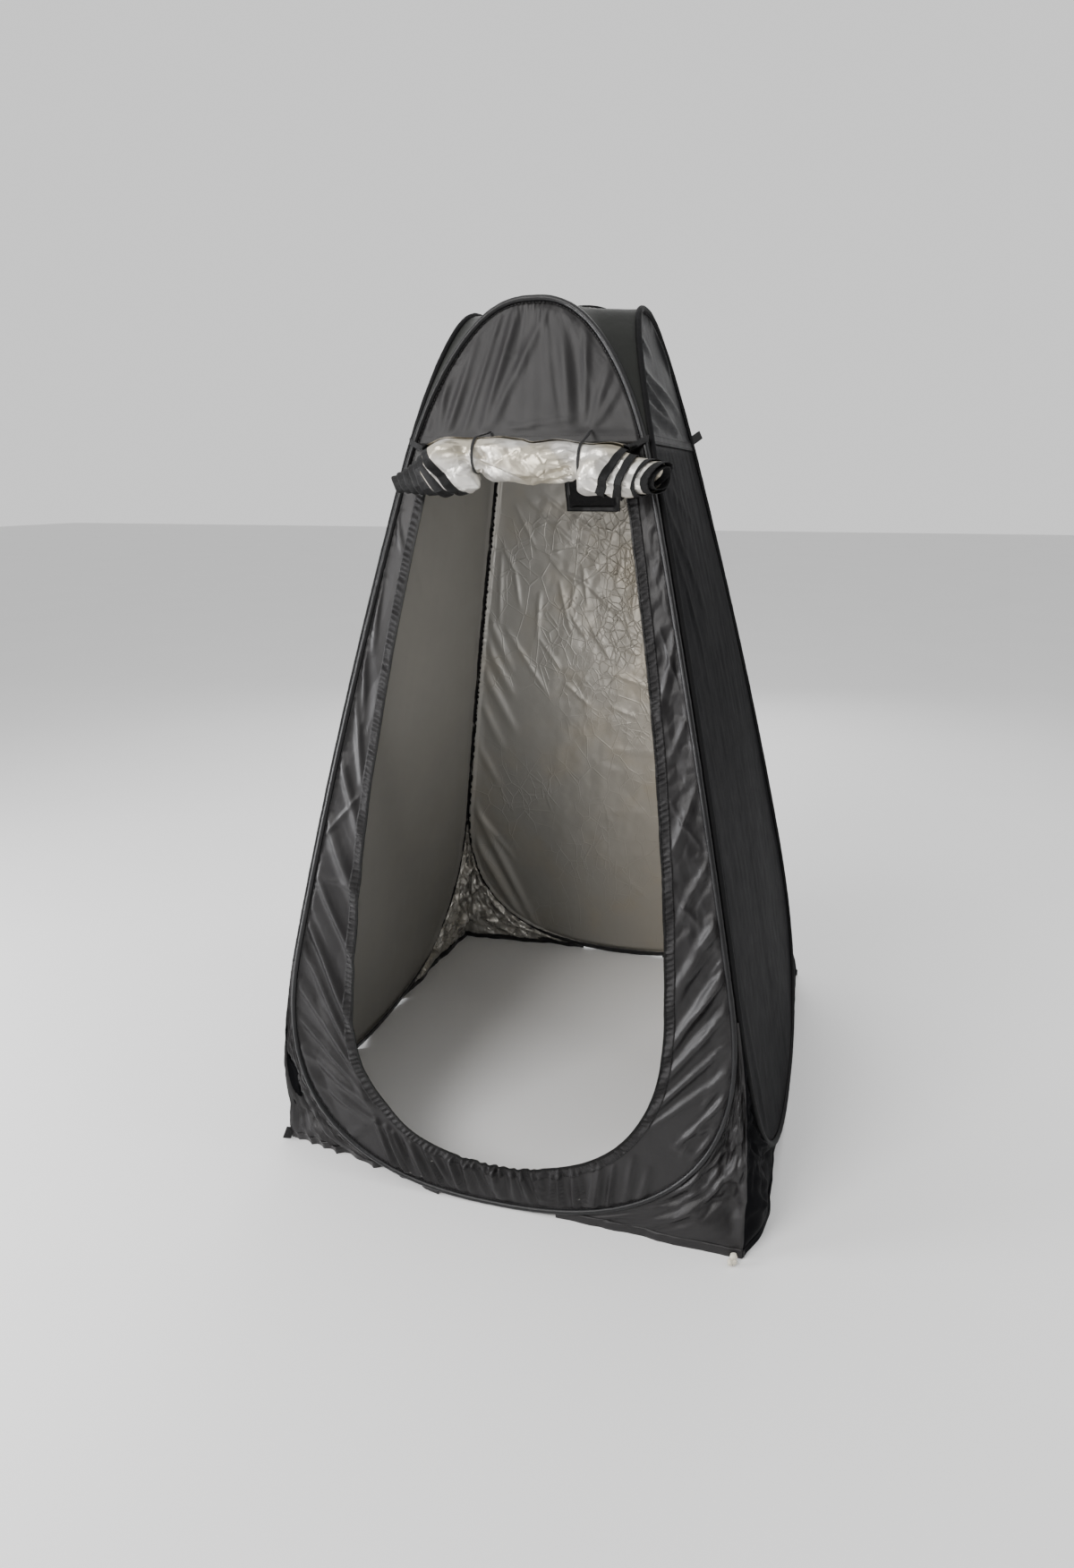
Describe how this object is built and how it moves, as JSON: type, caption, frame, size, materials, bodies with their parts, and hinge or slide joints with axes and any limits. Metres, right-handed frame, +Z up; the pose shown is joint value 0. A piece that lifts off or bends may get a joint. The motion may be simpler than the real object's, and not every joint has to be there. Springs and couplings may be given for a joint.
{
  "type": "pop-up toilet tent",
  "caption": "Tall square pop-up privacy tent with sprung hoops, dark cloth walls, open floor, rolled-up front door and a small rear window.",
  "frame": {"origin": "centre of the base, on the ground", "axes": "+Z up, -Y out through the doorway, +X to the right when facing the doorway from outside"},
  "size_m": [1.2274, 1.2285, 1.9393],
  "materials": {
    "outer_cloth": "charcoal polyester with a soft sheen and tension folds",
    "roof_cloth": "charcoal polyester, stretched smooth",
    "sleeve_binding": "near-black woven binding tape",
    "silver_lining": "silver coating on the inner side of the cloth, crumpled",
    "webbing": "black woven webbing and elastic",
    "window_net": "black mosquito net",
    "cream_cord": "cream twisted cord, frayed at its end"
  },
  "bodies": {
    "root": {"front_hoop": "sleeve_binding", "right_hoop": "sleeve_binding", "back_hoop": "sleeve_binding", "left_hoop": "sleeve_binding", "front_upper_panel": "outer_cloth", "right_upper_panel": "outer_cloth", "back_upper_panel": "outer_cloth", "left_upper_panel": "outer_cloth", "front_lower_panel": "outer_cloth", "right_lower_panel": "outer_cloth", "back_lower_panel": "outer_cloth", "left_lower_panel": "outer_cloth", "roof_panel": "roof_cloth", "front_right_gusset": "outer_cloth", "back_right_gusset": "outer_cloth", "back_left_gusset": "outer_cloth", "front_left_gusset": "outer_cloth", "front_right_hem": "sleeve_binding", "back_right_hem": "sleeve_binding", "back_left_hem": "sleeve_binding", "front_left_hem": "sleeve_binding", "front_right_guy_tab": "webbing", "back_right_guy_tab": "webbing", "back_left_guy_tab": "webbing", "front_left_guy_tab": "webbing", "front_right_peg_tab": "webbing", "back_right_peg_tab": "webbing", "back_left_peg_tab": "webbing", "front_left_peg_tab": "webbing", "door_zip_tape": "sleeve_binding", "door_roll": "silver_lining", "door_tie_left": "webbing", "door_tie_right": "webbing", "window_binding": "sleeve_binding", "window_mesh": "window_net", "window_flap": "outer_cloth", "cord_knot": "cream_cord"}
  },
  "joints": []
}
